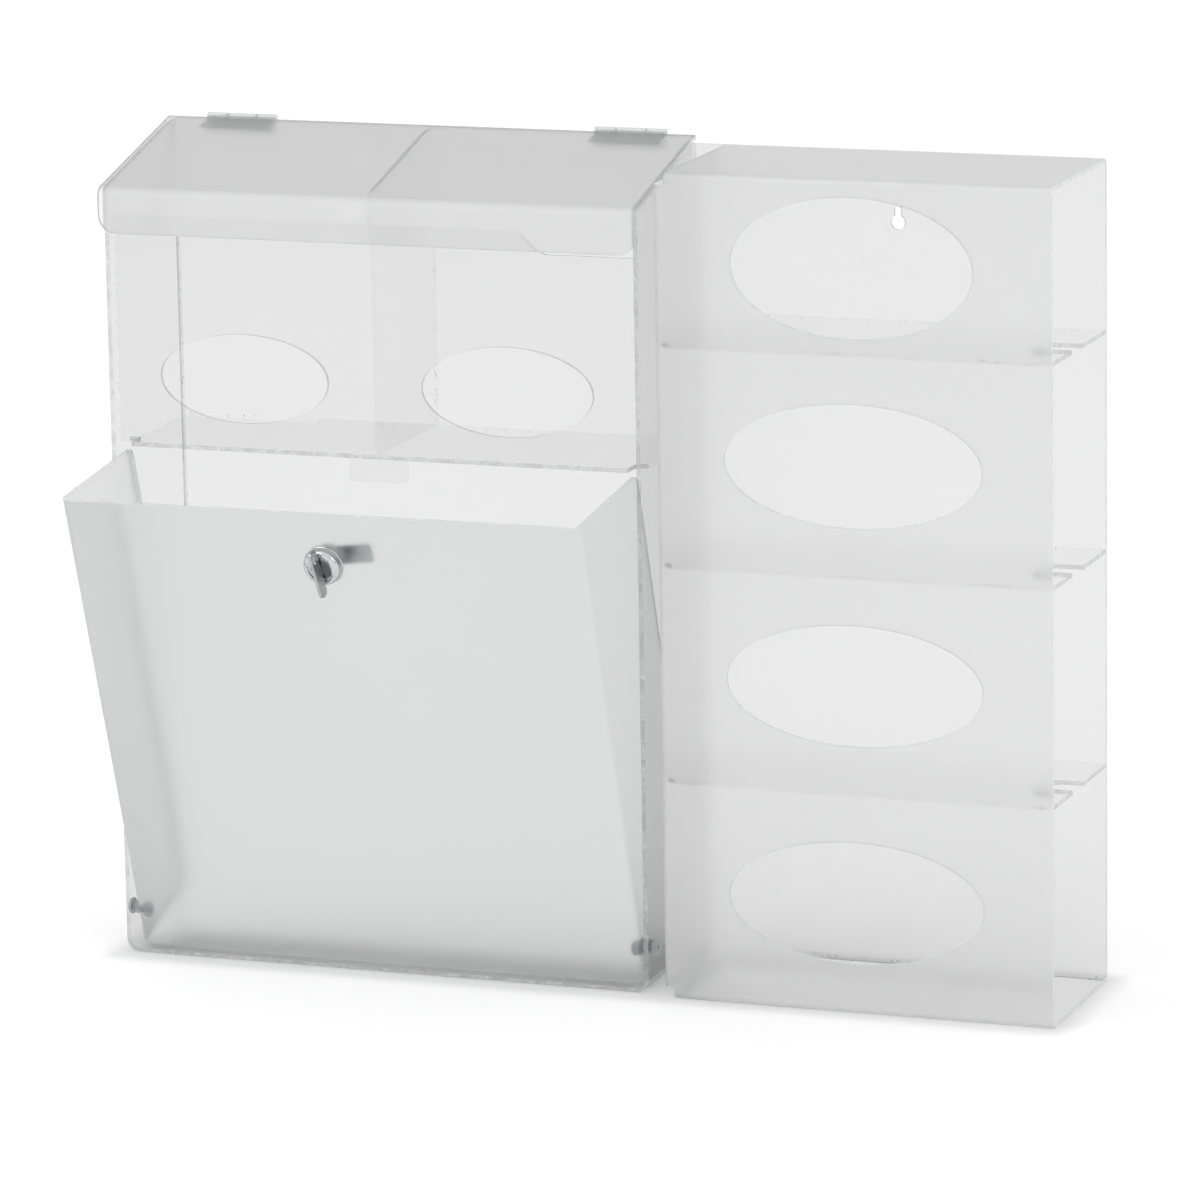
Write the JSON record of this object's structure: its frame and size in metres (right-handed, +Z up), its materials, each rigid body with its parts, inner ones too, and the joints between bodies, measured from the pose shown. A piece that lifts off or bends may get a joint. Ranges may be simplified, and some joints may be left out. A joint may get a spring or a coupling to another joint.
{
  "type": "ppe isolation station",
  "caption": "Clear and frosted plastic station: lidded upper bays with oval hand openings over a lockable tilt-out bin, beside a tiered glove box holder.",
  "frame": {"origin": "on the underside, midway across the width and the depth", "axes": "+X to the right of someone facing the front, +Y to the wall, +Z up"},
  "size_m": [0.6585, 0.2277, 0.559],
  "materials": {
    "clear_sheet": "clear, glossy",
    "frosted_sheet": "frosted, translucent",
    "hinge_plastic": "clear, moulded",
    "pivot_plastic": "clear, moulded",
    "lock_chrome": "polished",
    "lock_steel": "plated, satin",
    "key_steel": "plated, satin"
  },
  "bodies": {
    "station": {"back_panel": "clear_sheet", "bin_shell": "clear_sheet", "upper_front_panel": "clear_sheet", "bin_shelf": "clear_sheet", "divider": "clear_sheet", "strike_tab": "clear_sheet", "holder_shell": "frosted_sheet", "holder_shelf_lower": "clear_sheet", "holder_shelf_middle": "clear_sheet", "holder_shelf_upper": "clear_sheet", "hinge_body_leaf_left": "hinge_plastic", "hinge_pin_left": "hinge_plastic", "pivot_screw_left": "pivot_plastic", "pivot_spacer_left": "pivot_plastic", "pivot_nut_left": "pivot_plastic", "hinge_body_leaf_right": "hinge_plastic", "hinge_pin_right": "hinge_plastic", "pivot_screw_right": "pivot_plastic", "pivot_spacer_right": "pivot_plastic", "pivot_nut_right": "pivot_plastic"},
    "lid": {"lid": "frosted_sheet", "hinge_lid_leaf_left": "hinge_plastic", "hinge_lid_leaf_right": "hinge_plastic"},
    "door": {"door": "frosted_sheet", "lock_washer": "lock_chrome", "lock_body": "lock_chrome", "lock_nut": "lock_steel"},
    "lock_core": {"lock_plug": "lock_chrome", "cam": "lock_steel", "cam_screw": "lock_steel", "key": "key_steel"}
  },
  "joints": [
    {"name": "lid_hinge", "type": "hinge", "parent": "station", "child": "lid", "pos_m": [-0.14, 0.0604, 0.556], "axis": [-1, 0, 0], "range_deg": [0, 103]},
    {"name": "door_pivot", "type": "hinge", "parent": "station", "child": "door", "pos_m": [-0.14, -0.044, 0.029], "axis": [-1, 0, 0], "range_deg": [0, 18.4]},
    {"name": "lock_turn", "type": "hinge", "parent": "door", "child": "lock_core", "pos_m": [-0.14, -0.14376, 0.29722], "axis": [0, -0.9489, -0.3156], "range_deg": [-7, 83]}
  ]
}
